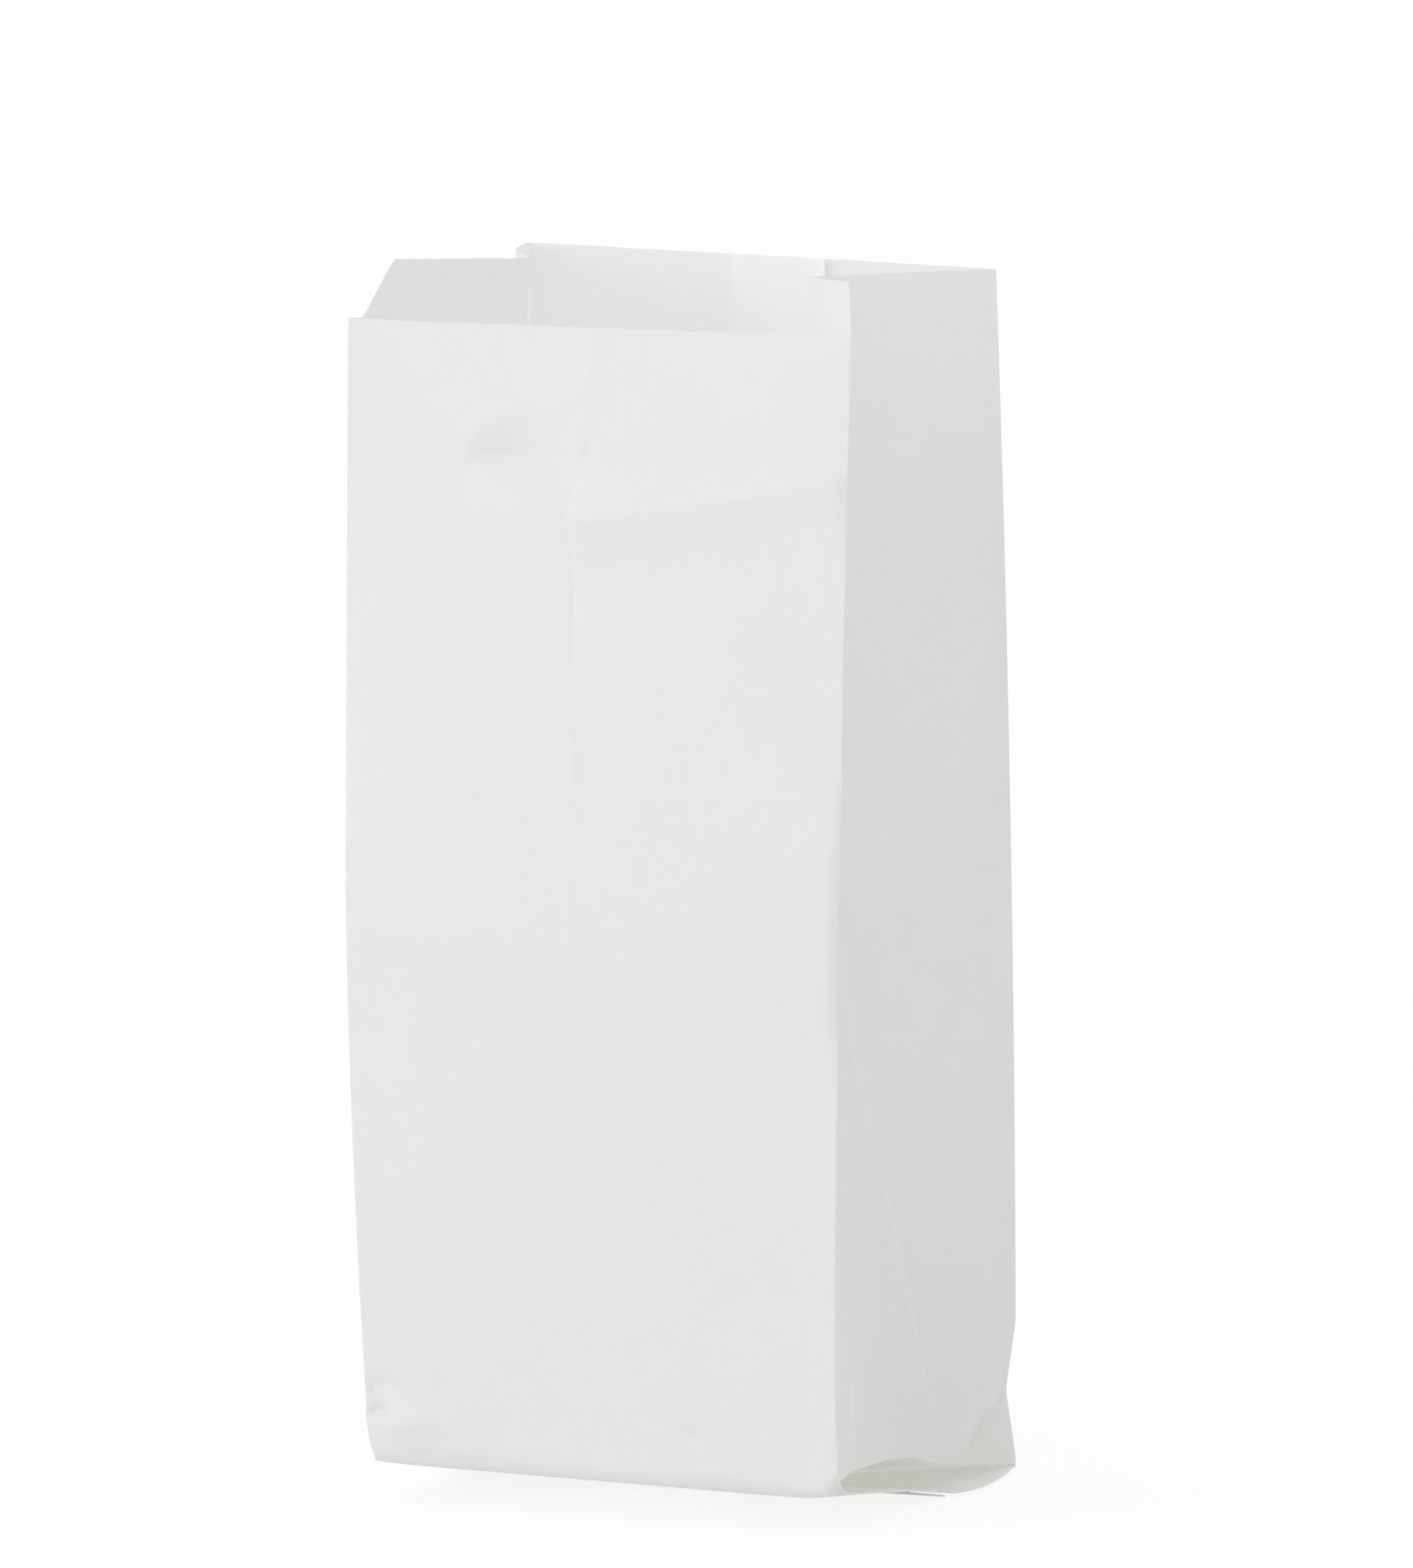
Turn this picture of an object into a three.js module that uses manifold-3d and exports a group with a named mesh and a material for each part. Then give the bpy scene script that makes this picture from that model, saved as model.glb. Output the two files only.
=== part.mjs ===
// Greaseproof paper bag, standing open
//
// One sheet, folded and glued: a tube with two side gussets, closed below by a
// folded hem and opened out to a rectangular floor. Millimetres, +Z up, the
// front panel faces -Y, and the origin is the middle of the footprint, on the
// surface that the bag stands on.
import * as THREE from 'three';
import { mergeVertices } from 'three/addons/utils/BufferGeometryUtils.js';
import Module from 'manifold-3d';

// Sheet
const panelWidth = 150; // front and back panels, fold to fold
const bagDepth = 144; // side gusset pulled flat, front fold to back fold
const wall = 0.4; // one ply, made stout

// Heights of the cut edge
const bagHeight = 350; // at the back right fold
const frontLip = 12; // how much lower the front panel is cut
const leftRise = 3.5; // how much higher the left side stands
const gussetCrown = 3; // rise of each gusset's cut edge beside the front panel
const creaseDrop = 2.5; // how much lower the right gusset's crease stands

// Steps in the cut edge where the gussets meet the front panel
const leftStepStart = 6;
const leftStepEnd = 18;
const rightStepStart = 1;
const rightStepEnd = 6;

// Folds that lean inwards towards the mouth
const frontLeftLean = 4;
const frontRightLean = 13;
const backLeftLean = 7;
const backRightLean = 18;
const panelBow = 2; // bulge of the front and back panels at mid width

// Gusset creases, pushed in from the straight line between their folds
const creaseFoot = 1; // at the floor, both sides
const rightCreaseSwell = 26; // gained by rightCreaseReach above the floor
const rightCreaseReach = 190;
const rightCreaseTaper = 18; // gained evenly from floor to mouth
const leftCreaseSwell = 12;
const leftCreaseReach = 170;
const leftCreaseTaper = 15;

// Front left fold, tucked in near the floor
const tuckReach = 180;
const tuckAcross = 4;
const tuckBack = 10;
const tuckFade = 1.5; // power by which the tuck fades upwards

// Lap seam on the back panel, one ply more on the inner face
const seamWidth = 30;
const seamOffset = 3.5; // seam middle, right of the panel's middle
const seamEdge = 0.2; // run of the step at each side of the seam

// Floor
const hemWidth = 20; // hem strip, folded flat under the floor
const hemThickness = 1.2;
const hemLine = 2; // middle of the hem strip, behind the middle of the bag
const backClear = 0.15; // back edge of the floor, just clear of the standing surface
const hemCore = 3; // half the gap between the gusset creases at the hem
const frontRise = 12; // front edge of the floor above the hem
const cornerLift = 2.5; // extra rise at the two front corners
const cornerLiftFullness = 4; // the greater, the closer the rise stays to the corners
const turnRadius = 5; // roll between the front and back panels and the floor
const cornerRadius = 1.5; // sharper roll at the corners and gussets
const rollFullness = 6; // the greater, the closer the sharper roll stays to the corners
const pocketHeight = 10; // mouth of the pocket between gusset and floor flap
const pocketFrontFullness = 5;
const pocketBackFullness = 1.1;
const flapLap = 1.5; // floor flap reaches this far past the floor's diagonals
const flapSink = 0.05; // floor flap's underside below the floor's

// Mesh density
const wallRows = 16;
const panelCells = 10;
const rearCells = 3; // across the rear half of each gusset
const rightFrontShares = [0.4, 0.7]; // across the front half of the right gusset
const leftFrontShares = [0.35];
const turnSteps = 3;
const floorRings = [0.07, 0.2, 0.35, 0.5, 0.65, 0.8, 0.93];
const flapCells = 3;
const flapRowShares = [0.33, 0.66]; // between the hem strip and each end of a flap
const mitreLimit = 0.5; // least cosine that a mitred inset is lengthened by
const shareSlack = 1e-6;
const weldDistance = 1e-4;

const halfWidth = panelWidth / 2;
const halfDepth = bagDepth / 2;
const gussetHalf = bagDepth / 2;

const lerp = THREE.MathUtils.lerp;
const clamp = THREE.MathUtils.clamp;
const smoothstep = THREE.MathUtils.smoothstep;

// Plan of the bag

function creaseDepth(z, swell, reach, taper) {
  return creaseFoot + swell * smoothstep(z, 0, reach) + (taper * z) / bagHeight;
}

function cornersAt(z) {
  const lean = (z / bagHeight) ** 2;
  const tuck = Math.max(0, 1 - z / tuckReach) ** tuckFade;
  const frontLeft = new THREE.Vector2(
    -halfWidth + tuckAcross * tuck,
    -halfDepth + frontLeftLean * lean + tuckBack * tuck,
  );
  const frontRight = new THREE.Vector2(halfWidth, -halfDepth + frontRightLean * lean);
  const backRight = new THREE.Vector2(halfWidth, halfDepth - backRightLean * lean);
  const backLeft = new THREE.Vector2(-halfWidth, halfDepth - backLeftLean * lean);
  const rightCrease = frontRight.clone().lerp(backRight, 0.5);
  rightCrease.x -= creaseDepth(z, rightCreaseSwell, rightCreaseReach, rightCreaseTaper);
  const leftCrease = frontLeft.clone().lerp(backLeft, 0.5);
  leftCrease.x += creaseDepth(z, leftCreaseSwell, leftCreaseReach, leftCreaseTaper);
  return { frontLeft, frontRight, rightCrease, backRight, backLeft, leftCrease };
}

// Heights of the cut edge at the six folds

const mouth = {
  frontLeft: bagHeight - frontLip + leftRise / 2,
  frontRight: bagHeight - frontLip,
  rightCrease: bagHeight - creaseDrop,
  backRight: bagHeight,
  backLeft: bagHeight + leftRise,
  leftCrease: bagHeight + leftRise,
};

// The six strips of the tube, walked anticlockwise seen from above. Each
// station has its strip, its share of the way along it and its cut height.

function evenShares(cells) {
  return Array.from({ length: cells }, (unused, i) => i / cells);
}

function seamShares() {
  const fromRight = halfWidth - seamOffset - seamWidth / 2;
  const edges = [fromRight, fromRight + seamEdge];
  edges.push(fromRight + seamWidth - seamEdge, fromRight + seamWidth);
  return edges.map((distance) => distance / panelWidth);
}

function backShares() {
  const seam = seamShares();
  const cell = 1 / panelCells;
  const clearOfSeam = (share) => seam.every((edge) => Math.abs(edge - share) > cell / 4);
  return [...evenShares(panelCells).filter(clearOfSeam), ...seam].sort((a, b) => a - b);
}

function edgeHeight(from, to, share) {
  return lerp(mouth[from], mouth[to], share);
}

function stepHeight(distance, start, end, low, high) {
  return lerp(low, high, clamp((distance - start) / (end - start), 0, 1));
}

function rightFrontTop(share) {
  const high = lerp(bagHeight + gussetCrown, mouth.rightCrease, share);
  return stepHeight(share * gussetHalf, rightStepStart, rightStepEnd, mouth.frontRight, high);
}

function leftFrontTop(share) {
  const high = lerp(mouth.leftCrease, bagHeight + leftRise + gussetCrown, share);
  const distance = (1 - share) * gussetHalf;
  return stepHeight(distance, leftStepStart, leftStepEnd, mouth.frontLeft, high);
}

function strip(from, to, shares, topOf, bow) {
  return shares.map((share) => ({ from, to, share, bow, top: topOf(share) }));
}

function makeStations() {
  const stepShares = (start, end) => [start / gussetHalf, end / gussetHalf];
  const rightFront = [0, ...stepShares(rightStepStart, rightStepEnd), ...rightFrontShares];
  const leftFront = stepShares(leftStepStart, leftStepEnd).map((share) => 1 - share);
  const level = (from, to) => (share) => edgeHeight(from, to, share);
  const front = level('frontLeft', 'frontRight');
  const rightRear = level('rightCrease', 'backRight');
  const back = level('backRight', 'backLeft');
  const leftRear = level('backLeft', 'leftCrease');
  return [
    ...strip('frontLeft', 'frontRight', evenShares(panelCells), front, panelBow),
    ...strip('frontRight', 'rightCrease', rightFront, rightFrontTop, 0),
    ...strip('rightCrease', 'backRight', evenShares(rearCells), rightRear, 0),
    ...strip('backRight', 'backLeft', backShares(), back, panelBow),
    ...strip('backLeft', 'leftCrease', evenShares(rearCells), leftRear, 0),
    ...strip('leftCrease', 'frontLeft', [0, ...leftFrontShares, ...leftFront.reverse()], leftFrontTop, 0),
  ];
}

function isPanel(station) {
  return station.bow > 0;
}

function planPoint(station, z) {
  const corners = cornersAt(z);
  const start = corners[station.from];
  const end = corners[station.to];
  const point = start.clone().lerp(end, station.share);
  const along = end.clone().sub(start).normalize();
  const bulge = station.bow * 4 * station.share * (1 - station.share);
  return point.add(new THREE.Vector2(along.y, -along.x).multiplyScalar(bulge));
}

// Floor: underside of the bag, and the pocket's roof above it at each side

function floorHeight(x, y) {
  const clear = Math.abs(y - hemLine) - hemWidth / 2;
  if (clear <= 0) return hemThickness;
  const backShare = clear / (halfDepth - hemLine - hemWidth / 2);
  if (y > hemLine) return lerp(hemThickness, backClear, backShare);
  const share = clear / (halfDepth + hemLine - hemWidth / 2);
  const lift = cornerLift * Math.min(1, Math.abs(x) / halfWidth) ** cornerLiftFullness;
  return hemThickness + (frontRise + lift) * share;
}

function pocketShape(y, inset) {
  const reach = y / (halfDepth * (1 - inset) + wall);
  const fullness = reach < 0 ? pocketFrontFullness : pocketBackFullness;
  const height = (pocketHeight + 2 * wall) * (1 - inset);
  return Math.max(0, height * (1 - Math.min(1, Math.abs(reach)) ** fullness) - 2 * wall);
}

function ringPoint(station, inset) {
  const foot = planPoint(station, frontRise);
  const x = lerp(foot.x, (foot.x * hemCore) / halfWidth, inset);
  const y = lerp(foot.y, hemLine, inset);
  const roof = isPanel(station) ? 0 : pocketShape(y, inset);
  return new THREE.Vector3(x, y, floorHeight(x, y) + roof);
}

function rollRadius(station) {
  if (!isPanel(station)) return cornerRadius;
  const middle = 1 - Math.abs(2 * station.share - 1) ** rollFullness;
  return lerp(cornerRadius, turnRadius, middle);
}

// Outer surface: columns of points from the cut edge down and in to the hem

function columnPoints(station) {
  const radius = rollRadius(station);
  const foot = ringPoint(station, 0).z + radius;
  const points = [];
  for (let row = 0; row <= wallRows; row += 1) {
    const z = lerp(station.top, foot, row / wallRows);
    const plan = planPoint(station, lerp(station.top, frontRise, row / wallRows));
    points.push(new THREE.Vector3(plan.x, plan.y, z));
  }
  for (let step = 1; step <= turnSteps; step += 1) {
    const angle = (step / turnSteps) * (Math.PI / 2);
    const point = ringPoint(station, (radius * (1 - Math.cos(angle))) / halfDepth);
    point.z += radius * (1 - Math.sin(angle));
    points.push(point);
  }
  const start = radius / halfDepth;
  floorRings.forEach((ring) => points.push(ringPoint(station, lerp(start, 1, ring))));
  return points;
}

function outerSurface(stations) {
  const columns = stations.map(columnPoints);
  const rows = columns[0].length;
  const positions = columns.flat().flatMap((point) => point.toArray());
  const centre = columns.length * rows;
  positions.push(0, hemLine, hemThickness);
  const faces = [];
  columns.forEach((column, i) => {
    const here = i * rows;
    const next = ((i + 1) % columns.length) * rows;
    for (let row = 0; row < rows - 1; row += 1) {
      faces.push([here + row, here + row + 1, next + row]);
      faces.push([next + row, here + row + 1, next + row + 1]);
    }
    faces.push([here + rows - 1, centre, next + rows - 1]);
  });
  return { positions, faces, rows, count: columns.length };
}

// Inner surface: the outer one moved in along its normals by the plies there

function faceNormals(positions, faces) {
  const at = (index) => new THREE.Vector3().fromArray(positions, index * 3);
  return faces.map(([a, b, c]) => {
    const normal = new THREE.Vector3();
    new THREE.Triangle(at(a), at(b), at(c)).getNormal(normal);
    return normal;
  });
}

function mitredInsets(positions, faces) {
  const normals = faceNormals(positions, faces);
  const around = Array.from({ length: positions.length / 3 }, () => []);
  faces.forEach((face, i) => face.forEach((index) => around[index].push(normals[i])));
  return around.map((list) => {
    const mean = list.reduce((sum, normal) => sum.add(normal), new THREE.Vector3()).normalize();
    const facing = list.reduce((sum, normal) => sum + normal.dot(mean), 0) / list.length;
    return mean.multiplyScalar(-1 / Math.max(facing, mitreLimit));
  });
}

function inSeam(station) {
  if (station.from !== 'backRight') return false;
  const [, first, last] = seamShares();
  return station.share > first - shareSlack && station.share < last + shareSlack;
}

function plies(station, row) {
  return inSeam(station) && row <= wallRows ? 2 : 1;
}

function innerPositions(surface, stations) {
  const insets = mitredInsets(surface.positions, surface.faces);
  return insets.flatMap((inset, index) => {
    const station = stations[Math.floor(index / surface.rows)];
    const layers = station ? plies(station, index % surface.rows) : 1;
    const point = new THREE.Vector3().fromArray(surface.positions, index * 3);
    return point.addScaledVector(inset, wall * layers).toArray();
  });
}

function shellGeometry(stations) {
  const surface = outerSurface(stations);
  const inner = innerPositions(surface, stations);
  const shift = surface.positions.length / 3;
  const faces = [...surface.faces];
  surface.faces.forEach(([a, b, c]) => faces.push([a + shift, c + shift, b + shift]));
  for (let i = 0; i < surface.count; i += 1) {
    const here = i * surface.rows;
    const next = ((i + 1) % surface.count) * surface.rows;
    faces.push([here, next, here + shift], [next, next + shift, here + shift]);
  }
  return meshGeometry([...surface.positions, ...inner], faces);
}

// Floor flap at one side: the outer ply and the ply folded back on it, which
// leave the side pocket open between them and the gusset above

function flapGeometry(side) {
  const corners = cornersAt(frontRise);
  const front = side > 0 ? corners.frontRight : corners.frontLeft;
  const back = side > 0 ? corners.backRight : corners.backLeft;
  const bends = [hemLine - hemWidth / 2, hemLine, hemLine + hemWidth / 2];
  const rowsAt = [front.y + cornerRadius, ...bends, back.y - cornerRadius];
  flapRowShares.forEach((share) => {
    rowsAt.push(lerp(front.y, bends[0], share), lerp(bends[2], back.y, share));
  });
  rowsAt.sort((a, b) => a - b);
  const low = [];
  rowsAt.forEach((y) => {
    const corner = y < hemLine ? front : back;
    const inset = (y - corner.y) / (hemLine - corner.y);
    const diagonal = lerp(Math.abs(corner.x), hemCore, inset) - flapLap;
    const edge = lerp(Math.abs(front.x), Math.abs(back.x), (y - front.y) / (back.y - front.y));
    for (let i = 0; i <= flapCells; i += 1) {
      const x = side * lerp(diagonal, edge, i / flapCells);
      low.push(new THREE.Vector3(x, y, floorHeight(x, y) - flapSink));
    }
  });
  return slabGeometry(low, rowsAt.length, flapCells + 1, 2 * wall, side);
}

// Closed slab over a grid of points, its top lying straight above its bottom

function slabGeometry(low, rows, columns, thickness, side) {
  const high = low.map((point) => point.clone().setZ(point.z + thickness));
  const shift = low.length;
  const faces = [];
  const quad = (a, b, c, d) => {
    if (side > 0) faces.push([a, b, c], [a, c, d]);
    else faces.push([a, c, b], [a, d, c]);
  };
  const at = (row, column) => row * columns + column;
  for (let row = 0; row < rows - 1; row += 1) {
    for (let i = 0; i < columns - 1; i += 1) {
      const corners = [at(row, i), at(row, i + 1), at(row + 1, i + 1), at(row + 1, i)];
      quad(...corners.map((index) => index + shift));
      quad(...corners.reverse());
    }
    const last = columns - 1;
    quad(at(row, last), at(row + 1, last), at(row + 1, last) + shift, at(row, last) + shift);
    quad(at(row + 1, 0), at(row, 0), at(row, 0) + shift, at(row + 1, 0) + shift);
  }
  for (let i = 0; i < columns - 1; i += 1) {
    const end = at(rows - 1, i);
    quad(i, i + 1, i + 1 + shift, i + shift);
    quad(end + 1, end, end + shift, end + 1 + shift);
  }
  return meshGeometry([...low, ...high].flatMap((point) => point.toArray()), faces);
}

function hemGeometry() {
  const depth = hemThickness + wall / 2;
  const box = new THREE.BoxGeometry(panelWidth, hemWidth, depth);
  return box.translate(0, hemLine, depth / 2);
}

// Geometry and solids

function meshGeometry(positions, faces) {
  const geometry = new THREE.BufferGeometry();
  geometry.setAttribute('position', new THREE.Float32BufferAttribute(positions, 3));
  geometry.setIndex(faces.flat());
  return geometry;
}

const wasm = await Module();
wasm.setup();

function toSolid(geometry) {
  geometry.deleteAttribute('normal');
  geometry.deleteAttribute('uv');
  const merged = mergeVertices(geometry, weldDistance);
  const vertProperties = new Float32Array(merged.getAttribute('position').array);
  const triVerts = new Uint32Array(merged.getIndex().array);
  return new wasm.Manifold(new wasm.Mesh({ numProp: 3, vertProperties, triVerts }));
}

function toGeometry(solid) {
  const mesh = solid.getMesh();
  const geometry = new THREE.BufferGeometry();
  const positions = new THREE.BufferAttribute(new Float32Array(mesh.vertProperties), 3);
  geometry.setAttribute('position', positions);
  geometry.setIndex(new THREE.BufferAttribute(new Uint32Array(mesh.triVerts), 1));
  geometry.computeVertexNormals();
  return geometry;
}

function centreFootprint(geometry) {
  geometry.computeBoundingBox();
  const { min, max } = geometry.boundingBox;
  return geometry.translate(-(min.x + max.x) / 2, -(min.y + max.y) / 2, -min.z);
}

function bagGeometry() {
  const shell = toSolid(shellGeometry(makeStations()));
  const withFlaps = shell.add(toSolid(flapGeometry(1))).add(toSolid(flapGeometry(-1)));
  return centreFootprint(toGeometry(withFlaps.add(toSolid(hemGeometry()))));
}

const greaseproofPaper = new THREE.MeshStandardMaterial({
  name: 'greaseproof_paper',
  color: 0xefefec,
  roughness: 0.75,
  metalness: 0,
});

const paperBag = new THREE.Mesh(bagGeometry(), greaseproofPaper);
paperBag.name = 'paper_bag';

const bag = new THREE.Group();
bag.add(paperBag);

export default bag;
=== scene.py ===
import math

import bpy
import numpy as np
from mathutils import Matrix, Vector


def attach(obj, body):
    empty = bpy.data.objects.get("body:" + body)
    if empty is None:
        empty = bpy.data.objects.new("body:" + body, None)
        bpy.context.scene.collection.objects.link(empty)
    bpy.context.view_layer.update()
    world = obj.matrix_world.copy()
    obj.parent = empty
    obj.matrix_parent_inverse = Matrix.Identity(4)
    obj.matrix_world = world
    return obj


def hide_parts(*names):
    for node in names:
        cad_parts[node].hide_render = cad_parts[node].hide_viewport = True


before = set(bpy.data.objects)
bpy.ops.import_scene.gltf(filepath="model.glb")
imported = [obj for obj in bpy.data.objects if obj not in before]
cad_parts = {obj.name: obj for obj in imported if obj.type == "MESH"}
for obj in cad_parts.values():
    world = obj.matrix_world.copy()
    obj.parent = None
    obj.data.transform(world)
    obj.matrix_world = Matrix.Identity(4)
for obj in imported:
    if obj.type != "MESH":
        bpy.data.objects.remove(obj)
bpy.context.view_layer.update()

MM = 0.001

# Sizes of the sheet in millimetres
PANEL_WIDTH = 150.0
BAG_DEPTH = 144.0
BAG_HEIGHT = 350.0
FRONT_LIP = 12.0
LEFT_RISE = 3.5
GUSSET_CROWN = 3.0
CREASE_DROP = -0.3
HALF_WIDTH = PANEL_WIDTH / 2
HALF_DEPTH = BAG_DEPTH / 2

# Lean of the folds towards the mouth
FRONT_LEFT_LEAN = 4.0
FRONT_RIGHT_LEAN = 13.0
BACK_LEFT_LEAN = 7.0
BACK_RIGHT_LEAN = 18.0
PANEL_BOW = 2.0

# Tuck of the front left fold at its foot, and kick of the front right one
TUCK_REACH = 180.0
TUCK_ACROSS = 4.0
TUCK_BACK = 10.0
TUCK_FADE = 1.5
KICK_OUT = 1.8
KICK_REACH = 60.0

# Gusset creases: foot, swell, reach of the swell, even taper
RIGHT_CREASE = (1.0, 29.0, 190.0, 6.0)
LEFT_CREASE = (1.0, 12.0, 170.0, 15.0)

# Steps of the cut edge beside the front folds, from and to, along the gusset
RIGHT_STEP = (1.0, 6.0)
LEFT_STEP = (6.0, 18.0)

# Floor and hem
HEM_WIDTH = 20.0
HEM_THICKNESS = 1.2
HEM_LINE = 2.0
HEM_TILT = 3.4
HEM_SHORT = 3.0
HEM_CORE = 3.0
BACK_CLEAR = 0.15
FRONT_RISE = 12.0
FRONT_SLANT = -0.022
LEFT_CORNER_LIFT = 1.9
RIGHT_CORNER_LIFT = 2.0
TIP_LIFT = 5.6
TURN_RADIUS = 5.0
PLY_GAP = 0.4

# Plies of the hem: gaps, turns, and how short its cut edges lie
HEM_TOP_GAP = 0.25
HEM_PLY_GAP = 0.05
HEM_TURN = 0.3
HEM_TOP_SHORT = 0.8
HEM_LOW_SHORT = 1.5
HEM_STATIONS = 61

# Powers by which the floor's lifts and bulges keep to its corners and edges
CORNER_SHARPNESS = 12
TIP_SHARPNESS = 40
TIP_FADE = 20
LIP_SHARPNESS = 4
ROLL_FULLNESS = 8

# Mouth of each side pocket: distances behind the middle, and its heights there
POCKET_AT = [-72.0, -71.0, -61.5, -28.0, -5.0, 16.0, 44.0, 72.0]
POCKET_RISE = [0.5, 0.7, 6.0, 9.0, 9.2, 7.6, 4.1, 0.6]
POCKET_END = 0.001

# Facet above the right pocket, turned in under this line
FACET_AT = [-60.0, -28.0, -8.7, 16.0]
FACET_TOP = [19.0, 19.6, 19.2, 8.7]
FACET_SLOPE = 0.2
FACET_FADE = 9.0

# Front left fold, rounded in at its foot
ROUND_HEIGHT = 25.0
ROUND_IN = 7.0

# The floor's right edge bulges out: distances behind the middle, and how far
LIP_AT = [-40.0, -8.0, 6.0, 12.0, 21.0, 31.0, 40.0, 58.0, 70.0]
LIP_OUT = [0.0, 1.0, 3.2, 4.6, 6.8, 7.0, 6.0, 3.0, 0.0]
LEFT_LIP_SHARE = 0.4

# Back right fold, pinched in a little above the floor
NOTCH_HEIGHT = 23.4
NOTCH_REACH = 20.0
NOTCH_IN = 2.2
NOTCH_FORWARD = 2.6
NOTCH_SPREAD = 16.0
NOTCH_FADE = 1.5

# Shift that puts the middle of the footprint on the origin
FOOTPRINT_SHIFT = -0.93

# Lap seam on the back panel, from its outer free edge to its inner one
SEAM_OUTER = -11.5
SEAM_INNER = 20.5
SEAM_GAP = 0.25
SEAM_SLACK = 0.1
SEAM_OPENING = 2.0

# Curl of the seam's inner edge, from a height upwards
CURL_OUT = 2.2
CURL_WIDTH = 5.0
CURL_FROM = 300.0
CURL_RISE = 55.0

# Raggedness of the cut edge
CUT_RAGGED = 0.12
CUT_SEED_STEP = 7

# Mesh density
FRONT_STEP = 1.7
BACK_STEP = 2.6
GUSSET_STEP = 1.9
ROW_STEP = 1.75
TURN_ROWS = 6
EVEN_TOP = 328.0
EVEN_FOOT = 32.0
TOP_ROWS = 14
FOOT_ROWS = 16
NEAR_FOLD = [0.0, 0.5, 1.2, 2.2, 3.4]
NEAR_CREASE = [9.5, 8.3, 7.1, 6.0, 4.9, 3.8, 2.8, 1.9, 1.1, 0.5, 0.0]
BESIDE_FOLD = [0.5, 1.2, 2.2]
BESIDE_IMPRINT = [-0.8, -0.4, 0.0, 0.4, 0.8]
BESIDE_MID_FOLD = [-1.0, -0.4, 0.0, 0.4, 1.0]
MID_FOLD_CLEAR = 1.5
SHARE_DIGITS = 6
FOLD_SPACING = 2.2
SHARP_ANGLE = 50.0

# Level fold at mid height, which runs past the edges of its strip
MID_FOLD = 208.0
MID_FOLD_WIDTH = 0.8
MID_FOLD_PAST = 1.0
PANEL_FOLD_HEIGHT = 0.14
GUSSET_FOLD_HEIGHT = 0.16

# Wear of the level folds, and painted light on the plies in the side pockets, which
# lightens their shade
LIGHT_WEAR = 0.25
GUSSET_WEAR = 0.35
POCKET_PAINTED_LIGHT = 1.0

# Upright lines pressed into the front panel, from its middle
IMPRINTS = (-5.4, -1.3, 4.1)

# Heights of the cut edge at the folds
MOUTH = {
    "front_left": BAG_HEIGHT - FRONT_LIP + LEFT_RISE / 2,
    "front_right": BAG_HEIGHT - FRONT_LIP,
    "right_crease": BAG_HEIGHT - CREASE_DROP,
    "back_right": BAG_HEIGHT,
    "back_left": BAG_HEIGHT + LEFT_RISE,
    "left_crease": BAG_HEIGHT + LEFT_RISE,
}


def smooth(x, reach):
    t = np.clip(x / reach, 0.0, 1.0)
    return t * t * (3.0 - 2.0 * t)


def lerp(a, b, t):
    return a + (b - a) * t


# Plan of the bag

def crease_depth(z, crease):
    foot, swell, reach, taper = crease
    return foot + swell * smooth(z, reach) + taper * z / BAG_HEIGHT


def corners_at(z):
    """The six folds in plan at each height, as arrays that end in x and y."""
    z = np.asarray(z, float)
    lean = (z / BAG_HEIGHT) ** 2
    tuck = np.clip(1.0 - z / TUCK_REACH, 0.0, None) ** TUCK_FADE
    wide = np.full_like(z, HALF_WIDTH)
    rounded = ROUND_IN * np.clip(1.0 - z / ROUND_HEIGHT, 0.0, None) ** 2
    front_left_y = -HALF_DEPTH + FRONT_LEFT_LEAN * lean + TUCK_BACK * tuck
    front_left = np.stack([-wide + TUCK_ACROSS * tuck + rounded, front_left_y], -1)
    kick = KICK_OUT * np.clip(1.0 - z / KICK_REACH, 0.0, None) ** 2
    front_right = np.stack([wide + kick, -HALF_DEPTH + FRONT_RIGHT_LEAN * lean], -1)
    back_right = np.stack([wide, HALF_DEPTH - BACK_RIGHT_LEAN * lean], -1)
    back_left = np.stack([-wide, HALF_DEPTH - BACK_LEFT_LEAN * lean], -1)
    right_crease = (front_right + back_right) / 2
    right_crease[..., 0] -= crease_depth(z, RIGHT_CREASE)
    left_crease = (front_left + back_left) / 2
    left_crease[..., 0] += crease_depth(z, LEFT_CREASE)
    return {
        "front_left": front_left,
        "front_right": front_right,
        "right_crease": right_crease,
        "back_right": back_right,
        "back_left": back_left,
        "left_crease": left_crease,
    }


# Strips of the sheet and their stations

def gusset_reaches():
    """Distances from a fold, used across the gussets and inwards on the floor."""
    by_crease = HALF_DEPTH - np.array(NEAR_CREASE)
    start, end = NEAR_FOLD[-1] + GUSSET_STEP, by_crease[0] - GUSSET_STEP / 2
    return np.concatenate([NEAR_FOLD, np.arange(start, end, GUSSET_STEP), by_crease])


REACHES = gusset_reaches()


def panel_shares(low, high, step, lines=()):
    """Shares across a panel, closer together beside its folds and pressed lines."""
    beside = np.array(BESIDE_FOLD) / PANEL_WIDTH
    close = [beside, 1.0 - beside]
    for line in lines:
        close.append(0.5 + (line + np.array(BESIDE_IMPRINT)) / PANEL_WIDTH)
    close = np.concatenate(close)
    close = close[(close > low) & (close < high)]
    cells = int(round((high - low) * PANEL_WIDTH / step))
    even = np.linspace(low, high, cells + 1)
    return np.unique(np.concatenate([even, close]).round(SHARE_DIGITS))


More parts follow.
